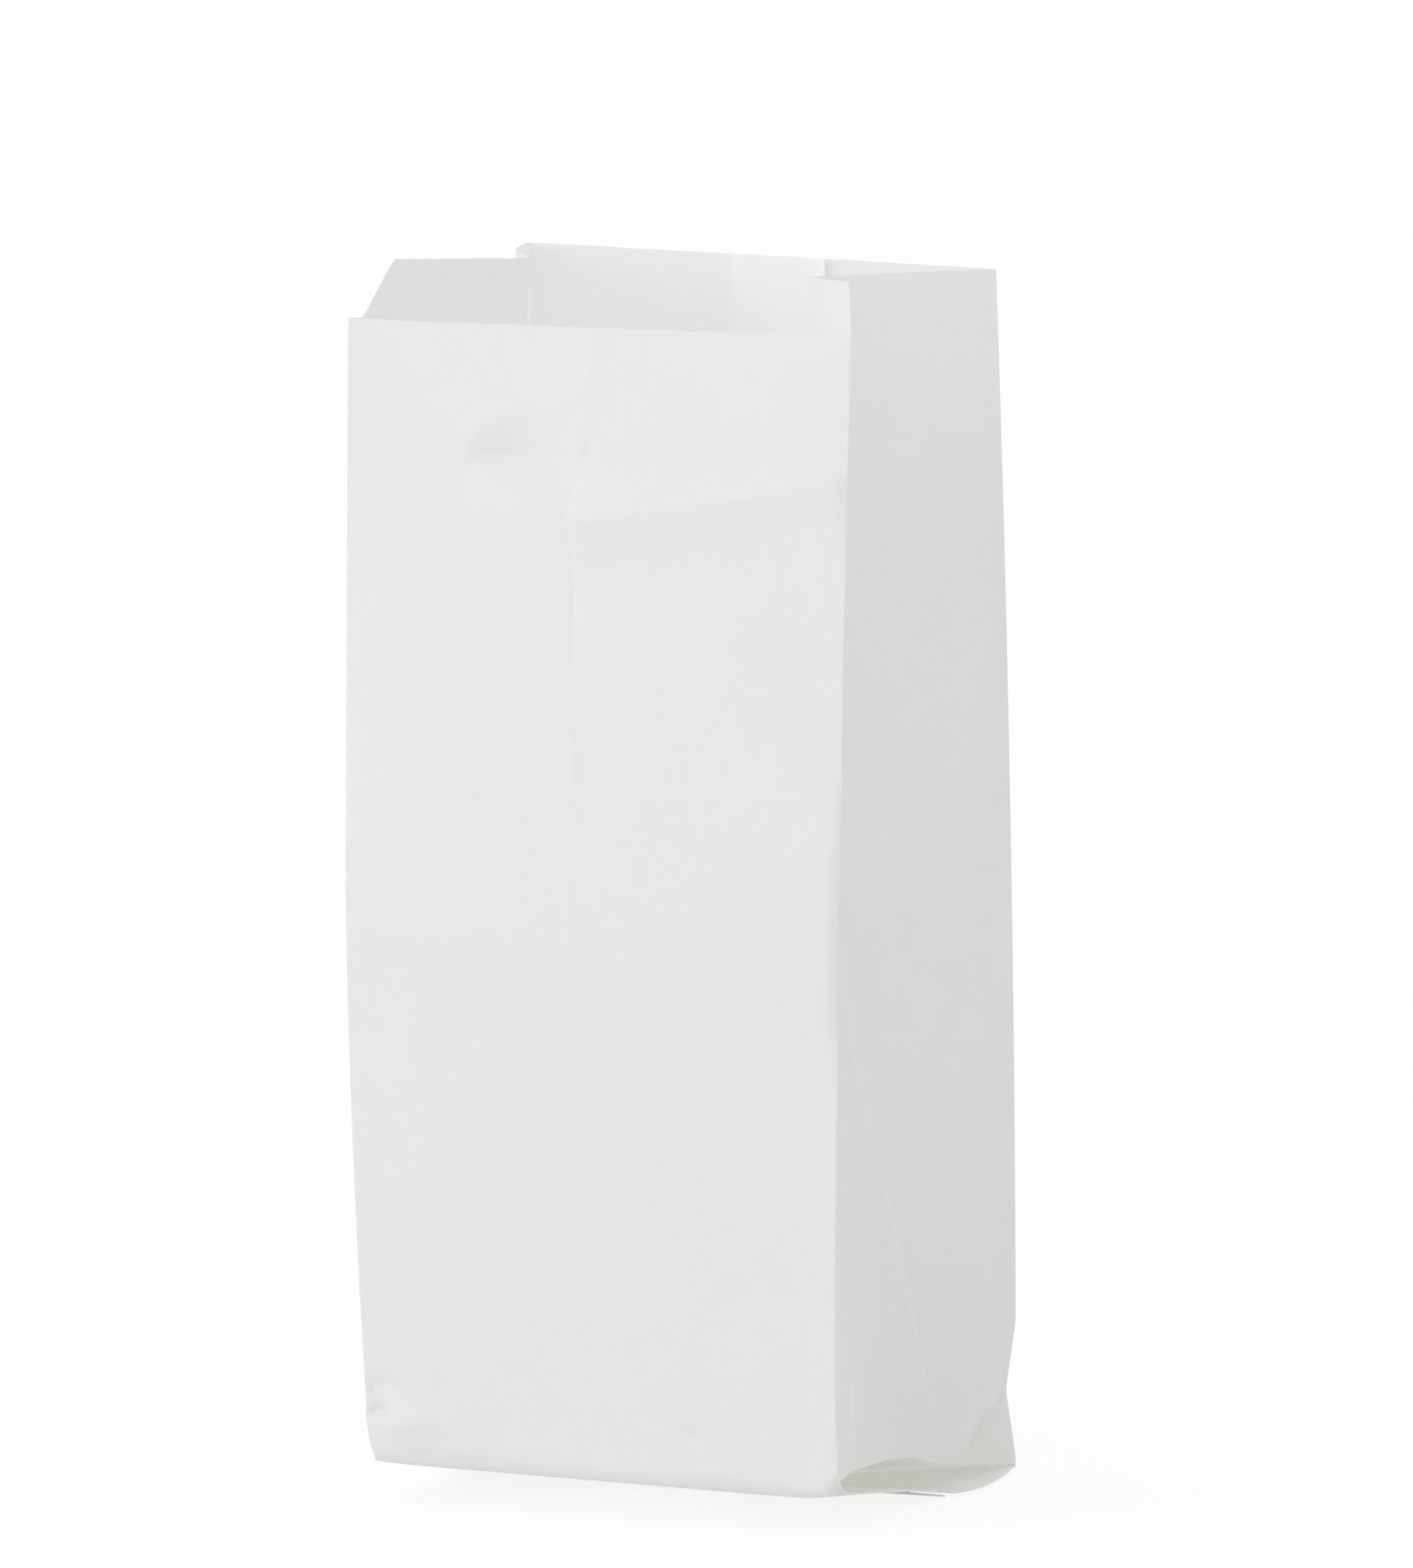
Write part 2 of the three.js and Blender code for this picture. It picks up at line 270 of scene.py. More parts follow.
def make_strips():
    """Strips from the sheet's inner free edge round to its outer one, each with
    its folds, kind and the shares of its stations."""
    share_out = (HALF_WIDTH - SEAM_OUTER) / PANEL_WIDTH
    share_in = (HALF_WIDTH - SEAM_INNER) / PANEL_WIDTH
    away = REACHES / HALF_DEPTH
    towards = 1.0 - away[::-1]
    return [
        {"from": "back_right", "to": "back_left", "kind": "back",
         "ply": "inner", "shares": panel_shares(share_in, 1.0, BACK_STEP)},
        {"from": "back_left", "to": "left_crease", "kind": "rear_gusset",
         "side": "left", "shares": away},
        {"from": "left_crease", "to": "front_left", "kind": "front_gusset",
         "side": "left", "shares": towards},
        {"from": "front_left", "to": "front_right", "kind": "front",
         "shares": panel_shares(0.0, 1.0, FRONT_STEP, IMPRINTS)},
        {"from": "front_right", "to": "right_crease", "kind": "front_gusset",
         "side": "right", "shares": away},
        {"from": "right_crease", "to": "back_right", "kind": "rear_gusset",
         "side": "right", "shares": towards},
        {"from": "back_right", "to": "back_left", "kind": "back",
         "ply": "outer", "shares": panel_shares(0.0, share_out, BACK_STEP)},
    ]


def fold_distance(strip):
    """Distance along a gusset half from its panel fold."""
    shares = strip["shares"]
    from_fold = strip["from"] in ("front_right", "back_left")
    return (shares if from_fold else 1.0 - shares) * HALF_DEPTH


def cut_heights(strip):
    """Height of the cut edge at each station."""
    level = lerp(MOUTH[strip["from"]], MOUTH[strip["to"]], strip["shares"])
    if strip["kind"] != "front_gusset":
        return level
    reach = fold_distance(strip)
    side = strip["side"]
    start, end = RIGHT_STEP if side == "right" else LEFT_STEP
    crown = BAG_HEIGHT + GUSSET_CROWN + (LEFT_RISE if side == "left" else 0.0)
    high = lerp(crown, MOUTH[side + "_crease"], reach / HALF_DEPTH)
    low = MOUTH["front_" + side]
    return lerp(low, high, np.clip((reach - start) / (end - start), 0.0, 1.0))


# Heights of the floor

def hem_base(y):
    """Underside of the hem strip, which stands on its rear edge."""
    behind = HEM_LINE + HEM_WIDTH / 2 - y
    return HEM_TILT * np.clip(behind / HEM_WIDTH, 0.0, 1.0)


def front_edge_height(x):
    """Height of the floor's front edge, which lifts at its corners."""
    side = np.where(x > 0, RIGHT_CORNER_LIFT, LEFT_CORNER_LIFT)
    lift = side * np.minimum(1.0, np.abs(x) / HALF_WIDTH) ** CORNER_SHARPNESS
    return FRONT_RISE + FRONT_SLANT * x + lift


def tip_lift(x, front_share):
    """Sharp lift of the floor's front right tip."""
    across = np.clip(x / HALF_WIDTH, 0.0, 1.0) ** TIP_SHARPNESS
    return TIP_LIFT * across * np.clip(front_share, 0.0, 1.0) ** TIP_FADE


def floor_height(x, y):
    """Height of the floor's outer ply behind, before and over the hem."""
    half = HEM_WIDTH / 2
    back_share = (y - HEM_LINE - half) / (HALF_DEPTH - HEM_LINE - half)
    front_share = (HEM_LINE - half - y) / (HALF_DEPTH + HEM_LINE - half)
    behind = lerp(HEM_THICKNESS, BACK_CLEAR, back_share)
    before = lerp(HEM_TILT + HEM_THICKNESS, front_edge_height(x), front_share)
    before = before + tip_lift(x, front_share)
    beside = hem_base(y) + HEM_THICKNESS
    return np.where(back_share > 0, behind, np.where(front_share > 0, before, beside))


def bulge_floor(points, share):
    """Pushes the floor's outer edges out to their curved lips."""
    x, y = points[..., 0], points[..., 1]
    out = np.interp(y, LIP_AT, LIP_OUT) * share
    near = np.clip(np.abs(x) / HALF_WIDTH, 0.0, 1.0) ** LIP_SHARPNESS
    side = np.where(x > 0, 1.0, -LEFT_LIP_SHARE)
    points[..., 0] = x + out * near * side
    return points


def pocket_rise(y, inset):
    """Height of the gusset's floor triangle above the floor's outer ply."""
    left = np.clip(1.0 - inset, POCKET_END, None)
    return PLY_GAP + np.interp(y / left, POCKET_AT, POCKET_RISE) * left


def facet_in(y, z):
    """How far the right gusset's facet lies inwards at a height of the wall."""
    return FACET_SLOPE * np.clip(np.interp(y, FACET_AT, FACET_TOP) - z, 0.0, None)


# Points of one strip: rows run from the cut edge down, then in to the hem

def even_levels():
    """Heights of the rows that all columns share, closer at the mid fold."""
    count = int(round((EVEN_TOP - EVEN_FOOT) / ROW_STEP))
    levels = np.linspace(EVEN_TOP, EVEN_FOOT, count + 1)
    close = MID_FOLD + np.array(BESIDE_MID_FOLD)
    far = levels[np.abs(levels - MID_FOLD) > MID_FOLD_CLEAR]
    return np.sort(np.concatenate([far, close]))[::-1]


LEVELS = even_levels()
WALL_ROWS = TOP_ROWS + len(LEVELS) + FOOT_ROWS


def wall_levels(top, foot):
    """Row heights of each column from its cut edge down to its foot."""
    above = lerp(top[:, None], EVEN_TOP, np.linspace(0.0, 1.0, TOP_ROWS + 1)[:-1])
    below = lerp(EVEN_FOOT, foot[:, None], np.linspace(0.0, 1.0, FOOT_ROWS + 1)[1:])
    middle = np.broadcast_to(LEVELS, (len(top), len(LEVELS)))
    return np.concatenate([above, middle, below], 1)


def strip_plan(strip, z):
    """Plan points of each station at its heights, with the panel's bow, and the
    outward directions there."""
    corners = corners_at(z)
    start, end = corners[strip["from"]], corners[strip["to"]]
    share = strip["shares"][:, None, None]
    along = (end - start) / np.linalg.norm(end - start, axis=-1, keepdims=True)
    outward = np.stack([along[..., 1], -along[..., 0]], -1)
    bow = PANEL_BOW if strip["kind"] in ("front", "back") else 0.0
    return lerp(start, end, share) + outward * (bow * 4 * share * (1 - share)), outward


def foot_plan(strip):
    """Plan points of a strip's foot."""
    z = np.full((len(strip["shares"]), 1), FRONT_RISE)
    return strip_plan(strip, z)[0][:, 0, :]


def roll_rows(radius):
    """Insets and lifts of the rows that turn from the wall into the floor."""
    insets, lifts = [], []
    for row in range(1, TURN_ROWS + 1):
        angle = row / TURN_ROWS * math.pi / 2
        insets.append(radius * (1 - math.cos(angle)) / HALF_DEPTH)
        lifts.append(radius * (1 - math.sin(angle)))
    for reach in REACHES[1:]:
        insets.append(lerp(radius / HALF_DEPTH, 1.0, reach / HALF_DEPTH))
        lifts.append(np.zeros_like(radius))
    return np.stack(insets, 1), np.stack(lifts, 1)


def lay_inside(points, shares, lift):
    """Moves the seam's inner ply off the outer one: inwards on the wall's side of
    the roll, and up on the floor."""
    gap = seam_lap((0.5 - shares) * PANEL_WIDTH)[:, None]
    turned = np.clip(1.0 - lift / TURN_RADIUS, 0.0, 1.0)
    points[..., 1] -= gap * (1.0 - turned)
    points[..., 2] += gap * turned


def panel_floor(strip):
    """Roll and floor rows of a front or back panel, and its foot's heights."""
    foot = foot_plan(strip)
    out = np.abs(2 * strip["shares"] - 1)
    hem_x = np.sign(foot[:, 0]) * out * HALF_WIDTH
    radius = TURN_RADIUS * (1 - out ** ROLL_FULLNESS)
    inset, lift = roll_rows(radius)
    x = lerp(foot[:, :1], hem_x[:, None], inset)
    y = lerp(foot[:, 1:], HEM_LINE, inset)
    points = np.stack([x, y, floor_height(x, y) + lift], -1)
    if strip.get("ply") == "inner":
        lay_inside(points, strip["shares"], lift)
    return bulge_floor(points, 1.0), floor_height(foot[:, 0], foot[:, 1]) + radius


def gusset_floor_plan(strip, along, into):
    """Plan of half a gusset on the floor: folded back up to the diagonal, and the
    inner floor past it. It also says which points are folded back."""
    side = strip["side"]
    sign = 1.0 if side == "right" else -1.0
    end = "front_" if strip["kind"] == "front_gusset" else "back_"
    corners = corners_at(np.array([FRONT_RISE]))
    corner = corners[end + side][0]
    middle = corners[side + "_crease"][0]
    hem_end = np.array([sign * HALF_WIDTH, HEM_LINE])
    hem_inner = np.array([sign * HEM_CORE, HEM_LINE])
    a, q = along[..., None], into[..., None]
    lower = corner + (hem_end - corner) * q + (hem_inner - hem_end) * a
    upper = corner + (middle - corner) * a + (hem_inner - middle) * q
    folded = along < into
    return np.where(folded[..., None], lower, upper), folded


def gusset_floor(strip):
    """Floor rows of half a gusset, and its foot's heights."""
    along = fold_distance(strip)[:, None] / HALF_DEPTH
    turn = np.linspace(0.0, REACHES[1], TURN_ROWS + 1)[:-1]
    into = np.concatenate([turn, REACHES[1:]])[None, :] / HALF_DEPTH
    plan, folded = gusset_floor_plan(strip, along, into)
    x, y = plan[..., 0], plan[..., 1]
    low = floor_height(x, y)
    rise = np.where(folded, PLY_GAP, pocket_rise(y, into))
    if strip["side"] == "right":
        fade = np.clip(1.0 - into * HALF_DEPTH / FACET_FADE, 0.0, 1.0)
        x = np.where(folded, x, x - facet_in(y, low + rise) * fade)
    points = np.stack([x, y, low + rise], -1)
    return bulge_floor(points, np.where(folded, 1.0, 0.0)), points[:, 0, 2]


def pinch(points):
    """Draws the back right fold in at its notch, with the paper beside it."""
    x, y, z = points[..., 0], points[..., 1], points[..., 2]
    off = np.hypot(x - HALF_WIDTH, y - HALF_DEPTH)
    near = np.clip(1.0 - off / NOTCH_SPREAD, 0.0, 1.0) ** NOTCH_FADE
    level = np.clip(1.0 - np.abs(z - NOTCH_HEIGHT) / NOTCH_REACH, 0.0, 1.0)
    return points - (near * level)[..., None] * np.array([NOTCH_IN, NOTCH_FORWARD, 0.0])


def wall_points(strip, foot):
    """Points of a strip's wall, and how much its creases are lightened: wear, and painted
    highlight on some ridges.
    """
    count = len(strip["shares"])
    rng = np.random.default_rng(count * CUT_SEED_STEP + len(strip["from"]))
    ragged = rng.uniform(-CUT_RAGGED, CUT_RAGGED, count)
    ragged[[0, -1]] = 0.0
    z = wall_levels(cut_heights(strip) + ragged, foot)
    plan, outward = strip_plan(strip, z)
    marks = relief(strip, z)
    plan = plan + outward * marks.push[..., None]
    return pinch(np.concatenate([plan, z[..., None]], -1)), marks.wear_and_painted_light


# Relief of the paper, outwards positive

# Slow waves: how many, their lengths, and a seed and height for each strip
WAVE_COUNT = 7
WAVE_LENGTHS = (45.0, 150.0)
FRONT_WAVES = (3, 0.6)
REAR_RIGHT_WAVES = (11, 0.5)
FRONT_RIGHT_WAVES = (12, 0.5)
LEFT_WAVES = (31, 0.5)
BACK_WAVES = (21, 0.6)

# How fast a crease tapers at its ends, and the calm paper beside each fold
CREASE_TAPER = 5
CALM_WIDTH = 2.5

# Buckle across the front panel: heights and sizes by distance from its middle
BUCKLE_AT = [-38.7, -35.0, -27.0, -18.0, -8.0, -4.0, 10.0, 29.0, 55.0, 76.0]
BUCKLE_UPPER = [299.0, 308.0, 313.0, 316.5, 311.0, 304.0, 306.0, 306.0, 306.0, 305.0]
BUCKLE_TROUGH = [298.6, 303.5, 303.5, 303.0, 300.5, 300.0, 301.0, 301.0, 301.0, 301.0]
BUCKLE_RIDGE = [298.0, 296.5, 293.0, 289.0, 284.2, 284.5, 286.0, 288.7, 293.5, 298.0]
BUCKLE_DEPTH = [0.0, 1.5, 4.0, 4.4, 2.6, 0.7, 0.4, 0.3, 0.2, 0.1]
BUCKLE_HEIGHT = [0.0, 0.7, 2.0, 3.6, 4.6, 4.8, 4.7, 4.2, 3.1, 1.6]
BUCKLE_FADE = 24.0

# Step pressed in at the mouth, over the seam behind it
IMPRINT_HEIGHT = 0.7
IMPRINT_CLIMB = 13.0
IMPRINT_END = 312.0
IMPRINT_FADE = 14.0

# Creases: points by distance across and height, then push, width and wear, which lightens
# the colour and on some bright ridges is painted highlight
FRONT_CREASES = [
    ([(IMPRINTS[0], 292.0), (IMPRINTS[0], 222.0)], -0.28, 0.8, 0.0),
    ([(IMPRINTS[0], 250.0), (IMPRINTS[0], 146.0)], 0.2, 0.9, 0.2),
    ([(5.2, 317.0), (-4.1, 301.0), (-7.1, 285.0), (-7.0, 277.0)], -0.7, 1.3, 0.0),
    ([(65.3, 275.8), (78.0, 285.0)], 0.6, 1.5, 0.0),
    ([(-4.0, 276.0), (3.0, 272.0), (9.0, 274.0)], 0.3, 2.5, 0.0),
    ([(-2.0, 262.0), (8.0, 255.0)], 0.3, 3.0, 0.0),
    ([(-30.0, 205.0), (-23.0, 190.0), (-4.0, 166.0)], 0.5, 6.0, 0.0),
    ([(-78.0, 33.0), (-63.0, 36.6)], -2.0, 1.8, 0.0),
    ([(-79.0, 25.6), (-68.0, 29.0)], -2.8, 1.7, 0.0),
]
REAR_RIGHT_CREASES = [
    ([(61.5, 303.0), (62.7, 297.5), (66.0, 294.4), (73.0, 291.5)], 1.1, 1.3, 1.0),
    # Ridge lightened by its wear value: painted highlight where it catches the light
    ([(18.0, 13.0), (40.0, 19.5), (66.0, 27.0)], 3.6, 3.0, 0.5),
    ([(32.0, 8.5), (50.0, 16.0), (68.0, 24.5)], -2.4, 2.2, 0.0),
    ([(15.0, 17.0), (13.5, 11.0), (16.0, 6.0)], 0.8, 0.9, 0.6),
    ([(51.4, 3.5), (55.2, 10.0)], 0.9, 1.0, 0.4),
]
REAR_RIGHT_PLEAT = ([(4.5, 330.0), (3.0, 123.0), (6.5, 22.0)], 1.0, 1.1, 1.6)
FRONT_RIGHT_CREASES = [
    ([(50.0, 125.0), (60.0, 84.0), (66.0, 42.0)], 0.9, 1.2, 1.2),
    # Stripe beside the front fold, lightened by its wear value: painted highlight
    ([(2.0, 70.0), (11.0, 45.0), (11.0, 14.0)], 1.8, 2.6, 0.3),
]

# Dents and swells: middle, reach across and up, push
FRONT_DOMES = [
    ((-62.0, 24.0), (9.0, 5.0), 3.0),
    ((30.4, 27.0), (3.0, 2.2), -0.7),
    ((37.1, 15.5), (5.0, 2.5), 0.6),
    ((-13.6, 29.3), (3.0, 2.0), -0.35),
]
REAR_RIGHT_DOMES = [((19.0, 12.0), (3.5, 4.0), 2.2)]
REAR_LEFT_DOMES = [((34.0, 362.0), (26.0, 60.0), 4.0)]

# Level swells: height of the middle, reach below and above, push and slope
FRONT_SWELL = (163.0, 12.0, 50.0, 2.4, -0.1)
BACK_SWELL = (163.0, 14.0, 45.0, 0.8, 0.0)

# How far the level fold of each gusset half lies below that of the panels
REAR_RIGHT_DROP = 4.0
OTHER_DROP = 3.0


def line_distance(s, z, a, b):
    """Distance to a segment and the share along it."""
    dx, dz = b[0] - a[0], b[1] - a[1]
    length = math.hypot(dx, dz)
    t = np.clip(((s - a[0]) * dx + (z - a[1]) * dz) / length ** 2, 0.0, 1.0)
    return np.hypot(s - a[0] - t * dx, z - a[1] - t * dz), t


class Relief:
    """Push of a strip's paper along its outward side, and the wear of its folds, which
    also carries painted highlight on some ridges, by distance across the strip, s, and
    height, z."""

    def __init__(self, s, z):
        self.s = s
        self.z = z
        self.push = np.zeros_like(z)
        self.wear_and_painted_light = np.zeros_like(z)

    def crease(self, points, push, width, wear_and_painted_light, open_ends=False):
        """A crease along a bent line, tapering to nothing at its closed ends."""
        best = np.zeros_like(self.z)
        spans = len(points) - 1
        for i in range(spans):
            gap, t = line_distance(self.s, self.z, points[i], points[i + 1])
            along = (i + t) / spans
            near_end = CREASE_TAPER * np.minimum(along, 1 - along)
            taper = 1.0 if open_ends else np.clip(near_end, 0, 1)
            best = np.maximum(best, taper * np.exp(-gap / width))
        self.push += push * best
        self.wear_and_painted_light += wear_and_painted_light * best ** 2

    def creases(self, rows):
        """A list of creases with closed ends."""
        for row in rows:
            self.crease(*row)

    def domes(self, rows):
        """A list of round dents and swells."""
        for (s, z), (across, up), push in rows:
            far = ((self.s - s) / across) ** 2 + ((self.z - z) / up) ** 2
            self.push += push * np.exp(-far)

    def swell(self, middle, below, above, push, slope):
        """A level swell, which may climb or fall across the strip."""
        gap = self.z - middle - slope * self.s
        width = np.where(gap < 0, below, above)
        self.push += push * np.exp(-(gap / width) ** 2)

    def waves(self, seed, height):
        """A few long smooth waves, different for each seed."""
        rng = np.random.default_rng(seed)
        for _ in range(WAVE_COUNT):
            length = rng.uniform(*WAVE_LENGTHS)
            turn = rng.uniform(0.0, math.pi)
            phase = rng.uniform(0.0, 2 * math.pi)
            run = self.s * math.cos(turn) + self.z * math.sin(turn)
            self.push += height / WAVE_COUNT * np.sin(2 * math.pi * run / length + phase)

    def fade(self, edge):
        """Calms the paper close to its strip's edges."""
        self.push *= np.clip(edge / CALM_WIDTH, 0.0, 1.0)


def buckle(marks):
    """A trough and a ridge across the front panel, below the mouth."""
    s, z = marks.s, marks.z
    upper = np.interp(s, BUCKLE_AT, BUCKLE_UPPER)
    trough = np.interp(s, BUCKLE_AT, BUCKLE_TROUGH)
    crest = np.interp(s, BUCKLE_AT, BUCKLE_RIDGE)
    depth = np.interp(s, BUCKLE_AT, BUCKLE_DEPTH, left=0.0)
    height = np.interp(s, BUCKLE_AT, BUCKLE_HEIGHT, left=0.0)
    down = np.clip((upper - z) / (upper - trough), 0.0, 1.0)
    out = np.clip((trough - z) / (trough - crest), 0.0, 1.0)
    gone = np.clip((crest - z) / BUCKLE_FADE, 0.0, 1.0)
    rise = lerp(-depth * down, height, out)
    marks.push += np.where(z > crest, rise, height * (1 - gone) ** 2)


def imprint(marks):
    """A step pressed into the front panel at the mouth, over the seam behind it."""
    first, last = IMPRINTS[1:]
    climb = np.clip((marks.s - first + IMPRINT_CLIMB) / IMPRINT_CLIMB, 0.0, 1.0)
    fall = np.clip((last - marks.s) / (last - first), 0.0, 1.0)
    level = smooth(marks.z - IMPRINT_END, IMPRINT_FADE)
    marks.push += IMPRINT_HEIGHT * np.minimum(climb, fall) * level


def panel_fold(marks):
    """Level fold across a whole panel."""
    end = HALF_WIDTH + MID_FOLD_PAST
    points = [(-end, MID_FOLD), (end, MID_FOLD)]
    marks.crease(points, PANEL_FOLD_HEIGHT, MID_FOLD_WIDTH, LIGHT_WEAR, open_ends=True)


def gusset_fold(marks, drop, wear_and_painted_light):
    """Level fold across a gusset half, a little lower than on the panels."""
    level = MID_FOLD - drop
    points = [(-MID_FOLD_PAST, level), (HALF_DEPTH + MID_FOLD_PAST, level)]
    marks.crease(points, GUSSET_FOLD_HEIGHT, MID_FOLD_WIDTH, wear_and_painted_light, open_ends=True)


def front_relief(marks):
    marks.waves(*FRONT_WAVES)
    buckle(marks)
    imprint(marks)
    panel_fold(marks)
    marks.creases(FRONT_CREASES)
    marks.swell(*FRONT_SWELL)
    marks.domes(FRONT_DOMES)


def rear_right_relief(marks):
    """s runs from the crease, 0, to the back right fold."""
    marks.waves(*REAR_RIGHT_WAVES)
    marks.crease(*REAR_RIGHT_PLEAT, open_ends=True)
    gusset_fold(marks, REAR_RIGHT_DROP, GUSSET_WEAR)
    marks.creases(REAR_RIGHT_CREASES)
    marks.domes(REAR_RIGHT_DOMES)
    marks.push -= facet_in(marks.s, marks.z)


def front_right_relief(marks):
    """s runs from the front right fold, 0, to the crease."""
    marks.waves(*FRONT_RIGHT_WAVES)
    gusset_fold(marks, OTHER_DROP, GUSSET_WEAR)
    marks.creases(FRONT_RIGHT_CREASES)
    marks.push -= facet_in(marks.s - HALF_DEPTH, marks.z)


def left_relief(marks, kind):
    marks.waves(*LEFT_WAVES)
    gusset_fold(marks, OTHER_DROP, LIGHT_WEAR)
    if kind == "rear_gusset":
        marks.domes(REAR_LEFT_DOMES)


def back_relief(marks, ply):
    marks.waves(*BACK_WAVES)
    panel_fold(marks)
    marks.swell(*BACK_SWELL)
    if ply == "inner":
        marks.push -= seam_step(marks.s, marks.z)


def seam_lap(s):
    """Gap between the plies of the lap seam, which opens beside the outer edge."""
    return SEAM_GAP * np.clip((s - SEAM_OUTER) / SEAM_OPENING + 1.0, 0.0, 1.0)


def seam_step(s, z):
    """How far the inner ply of the lap seam lies inside the outer one."""
    curl = np.clip((s - SEAM_INNER + CURL_WIDTH) / CURL_WIDTH, 0.0, 1.0) ** 2
    return seam_lap(s) + CURL_OUT * curl * smooth(z - CURL_FROM, CURL_RISE)


def gusset_relief(marks, side, kind):
    if side == "left":
        left_relief(marks, kind)
    elif kind == "front_gusset":
        front_right_relief(marks)
    else:
        rear_right_relief(marks)


def relief(strip, z):
    """Marks of a strip's paper, which fade beside its folds."""
    kind = strip["kind"]
    share = strip["shares"][:, None]
    width = PANEL_WIDTH if kind in ("front", "back") else HALF_DEPTH
    if kind == "front":
        marks = Relief((share - 0.5) * width, z)
        front_relief(marks)
    elif kind == "back":
        marks = Relief((0.5 - share) * width, z)
        back_relief(marks, strip["ply"])
    else:
        marks = Relief(share * width, z)
        gusset_relief(marks, strip["side"], kind)
    marks.fade(np.minimum(share, 1 - share) * width)
    return marks


# The whole sheet

def doubled(strip):
    """1 for stations of the inner ply that lie in the lap seam."""
    shares = strip["shares"]
    if strip.get("ply") != "inner":
        return np.zeros(len(shares))
    s = (0.5 - shares) * PANEL_WIDTH
    return ((s > SEAM_OUTER - SEAM_SLACK) & (s < SEAM_INNER + SEAM_SLACK)).astype(float)


def strip_points(strip):
    """Points of a whole strip, wall and floor, and its lightening: wear and painted
    highlight on the wall, painted light on the gusset plies of the floor.
    """
    lay_floor = panel_floor if strip["kind"] in ("front", "back") else gusset_floor
    floor, foot = lay_floor(strip)
    wall, wear_and_painted_light = wall_points(strip, foot)
    # The gusset plies on the floor get a lighter colour: painted light in the shaded side
    # pockets
    floor_painted_light = np.full(floor.shape[:2], POCKET_PAINTED_LIGHT if "side" in strip else 0.0)
    return np.concatenate([wall, floor], 1), np.concatenate([wear_and_painted_light, floor_painted_light], 1)


def round_folds(points):
    """Eases the columns beside each fold so that it turns over a small radius."""
    middle = (points[:-2] + 2 * points[1:-1] + points[2:]) / 4
    spacing = np.linalg.norm(points[2:] - points[:-2], axis=-1, keepdims=True)
    near = np.clip(FOLD_SPACING - spacing, 0.0, 1.0)
    eased = points.copy()
    eased[1:-1] = lerp(points[1:-1], middle, near)
    return eased


def sheet_grid():
    """All columns of the sheet side by side, shared folds kept once, with their
    marks, and which columns of cells are split the other way."""
    parts, wears_and_painted_light, doubles, turned = [], [], [], []
    for i, strip in enumerate(make_strips()):
        first = 0 if i == 0 else 1
        points, wear_and_painted_light = strip_points(strip)
        double = np.broadcast_to(doubled(strip)[:, None], wear_and_painted_light.shape)
        parts.append(points[first:])
        wears_and_painted_light.append(wear_and_painted_light[first:])
        doubles.append(double[first:])
        turned += [strip["from"].endswith("crease")] * (len(strip["shares"]) - 1)
    grid = np.concatenate(parts, 0)
    grid[:, :WALL_ROWS] = round_folds(grid[:, :WALL_ROWS])
    marks = {"wear_and_painted_light": np.concatenate(wears_and_painted_light, 0), "double": np.concatenate(doubles, 0)}
    return grid, marks, turned


def grid_faces(turned, rows):
    """Two triangles for each cell, split along the other way in turned columns."""
    faces = []
    for i, other in enumerate(turned):
        for j in range(rows - 1):
            a = i * rows + j
            b, c, d = a + rows, a + rows + 1, a + 1
            faces += [(a, d, b), (b, d, c)] if other else [(a, d, c), (a, c, b)]
    return faces


def hem_section():
    """Folded hem seen from its end: one ply after the other, from the top."""
    front, back = HEM_LINE - HEM_WIDTH / 2, HEM_LINE + HEM_WIDTH / 2
    high, middle, low = HEM_THICKNESS - HEM_TOP_GAP, HEM_THICKNESS / 2, HEM_PLY_GAP
    return [
        (back - HEM_TOP_SHORT, high),
        (HEM_LINE, high),
        (front + HEM_TURN, high - HEM_PLY_GAP),
        (front, (high + middle) / 2),
        (front + HEM_TURN, middle + HEM_PLY_GAP),
        (HEM_LINE, middle),
        (back - HEM_TURN, middle - HEM_PLY_GAP),
        (back, (middle + low) / 2),
        (back - HEM_TURN, low),
        (HEM_LINE, low),
        (front + HEM_LOW_SHORT, low),
    ]


def add_hem(vertices, faces):
    """Adds the hem's folded strip under the floor."""
    end = HALF_WIDTH - HEM_SHORT
    section = hem_section()
    start, count = len(vertices), len(section)
    xs = np.linspace(-end, end, HEM_STATIONS)
    points = np.array([[(x, y, hem_base(y) + z) for y, z in section] for x in xs])
    vertices.extend(bulge_floor(points, 1.0).reshape(-1, 3).tolist())
    for i in range(len(xs) - 1):
        for k in range(count - 1):
            a = start + i * count + k
            faces.append((a, a + count, a + count + 1, a + 1))


def add_marks(mesh, marks):
    """Writes the marks to the sheet's points, which come before the hem's."""
    for mark, values in marks.items():
        full = np.zeros(len(mesh.vertices))
        full[:values.size] = values.ravel()
        mesh.attributes.new(mark, "FLOAT", "POINT").data.foreach_set("value", full)


def make_bag(material):
    grid, marks, turned = sheet_grid()
    vertices = grid.reshape(-1, 3).tolist()
    faces = grid_faces(turned, grid.shape[1])
    add_hem(vertices, faces)
    placed = np.array(vertices)
    placed[:, 1] += FOOTPRINT_SHIFT
    mesh = bpy.data.meshes.new("greaseproof_paper_bag")
    mesh.from_pydata((placed * MM).tolist(), [], faces)
    mesh.materials.append(material)
    add_marks(mesh, marks)
    mesh.shade_smooth()
    mesh.set_sharp_from_angle(angle=math.radians(SHARP_ANGLE))
    piece = bpy.data.objects.new("greaseproof_paper_bag", mesh)
    bpy.context.scene.collection.objects.link(piece)
    return piece


# Material

